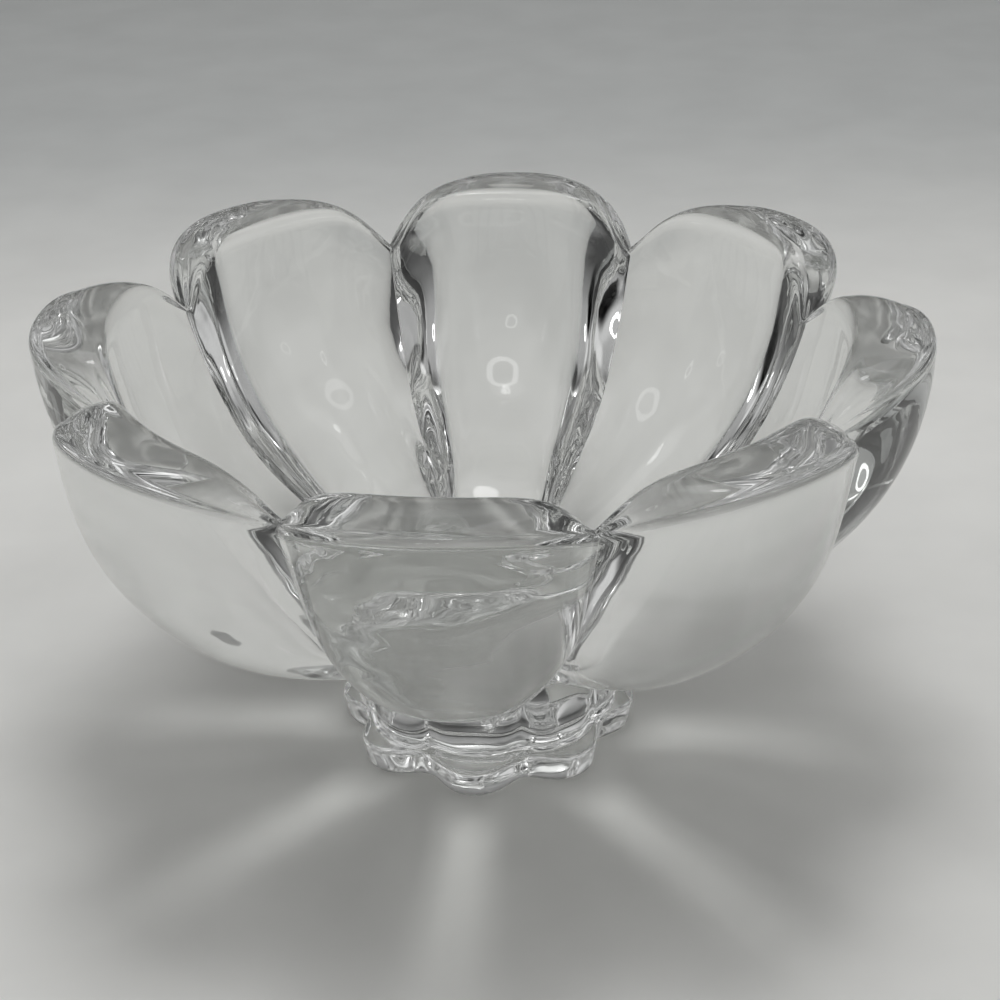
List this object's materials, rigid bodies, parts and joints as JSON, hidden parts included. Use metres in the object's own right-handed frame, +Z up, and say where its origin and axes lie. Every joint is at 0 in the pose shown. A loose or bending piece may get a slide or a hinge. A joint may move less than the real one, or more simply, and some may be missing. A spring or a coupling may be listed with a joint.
{
  "type": "petal bowl",
  "caption": "Heavy clear glass bowl with a rim of rounded, spoon-shaped petals, ridges inside between the petals, and a short scalloped foot.",
  "frame": {"origin": "middle of the foot's underside, on the surface that the bowl stands on", "axes": "+Z up along the bowl's axis, with one petal facing -Y and one facing +X"},
  "size_m": [0.1626, 0.1626, 0.0855],
  "materials": {
    "crystal": "clear, fire-polished"
  },
  "bodies": {
    "root": {"bowl": "crystal"}
  },
  "joints": []
}
